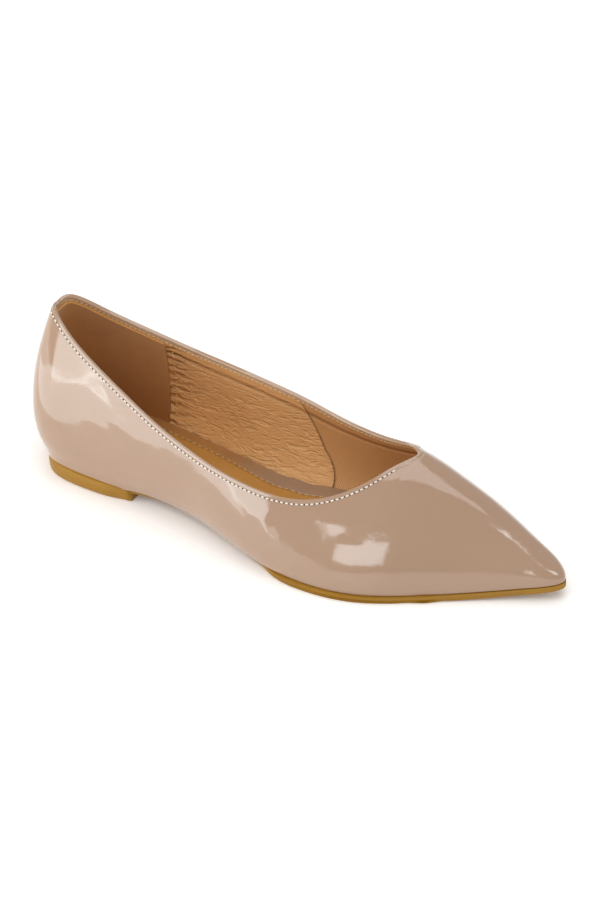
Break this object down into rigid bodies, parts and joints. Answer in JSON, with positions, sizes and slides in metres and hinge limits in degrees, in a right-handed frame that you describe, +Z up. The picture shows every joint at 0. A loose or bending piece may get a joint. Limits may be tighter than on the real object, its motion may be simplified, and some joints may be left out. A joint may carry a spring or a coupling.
{
  "type": "pointed toe flat shoe",
  "caption": "Women's low-cut slip-on flat for the right foot, with a pointed toe, a patent upper open at the collar, a padded insole, a thin rubber outsole and a low heel lift.",
  "frame": {"origin": "on the floor, under the middle of the shoe's bounding box", "axes": "+X from the heel to the toe, +Y to the inner side of the foot, +Z up"},
  "size_m": [0.255, 0.0792, 0.076],
  "materials": {
    "patent": "glossy patent, nude beige",
    "sock_leather": "matt tan, fine grain",
    "sole_rubber": "satin mustard",
    "heel_rubber": "satin mustard"
  },
  "bodies": {
    "root": {"upper": "patent", "insole": "sock_leather", "outsole": "sole_rubber", "heel": "heel_rubber"}
  },
  "joints": []
}
